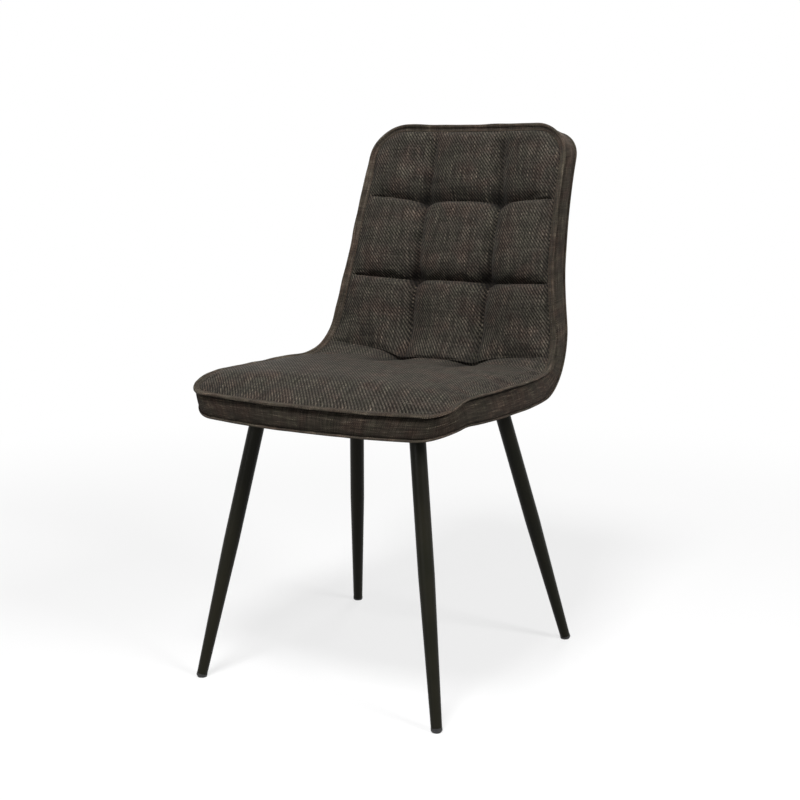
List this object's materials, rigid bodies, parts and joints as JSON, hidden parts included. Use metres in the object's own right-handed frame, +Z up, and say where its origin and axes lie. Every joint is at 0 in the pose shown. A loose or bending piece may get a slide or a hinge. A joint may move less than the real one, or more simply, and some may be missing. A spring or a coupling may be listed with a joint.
{
  "type": "upholstered dining chair",
  "caption": "Dining chair with a fabric seat and quilted back bent from one shell, on splayed tapered steel legs.",
  "frame": {"origin": "on the floor, at the middle of the chair's outer box", "axes": "+Z up, -Y towards the front edge of the seat, +X towards the right side of an observer who faces the seat from its front"},
  "size_m": [0.484, 0.572, 0.8701],
  "materials": {
    "face_fabric": "woven melange twill, dark grey-brown",
    "foam": "open-cell polyurethane foam",
    "dust_cloth": "black non-woven cloth",
    "plywood": "raw bent plywood",
    "black_steel": "satin black powder coat",
    "zinc_steel": "zinc plated",
    "black_plastic": "moulded black plastic"
  },
  "bodies": {
    "root": {"seat_pad": "face_fabric", "back_pad": "face_fabric", "face_welt": "face_fabric", "lower_welt": "face_fabric", "side_band": "face_fabric", "outer_cover": "face_fabric", "seat_foam": "foam", "back_foam": "foam", "dust_cover": "dust_cloth", "ply_shell": "plywood", "tee_nuts": "zinc_steel", "plate_front_left": "black_steel", "plate_front_right": "black_steel", "plate_rear_left": "black_steel", "plate_rear_right": "black_steel", "leg_front_left": "black_steel", "leg_front_right": "black_steel", "leg_rear_left": "black_steel", "leg_rear_right": "black_steel", "glide_front_left": "black_plastic", "glide_front_right": "black_plastic", "glide_rear_left": "black_plastic", "glide_rear_right": "black_plastic", "bolts_front_left": "zinc_steel", "bolts_front_right": "zinc_steel", "bolts_rear_left": "zinc_steel", "bolts_rear_right": "zinc_steel", "washers": "zinc_steel"}
  },
  "joints": []
}
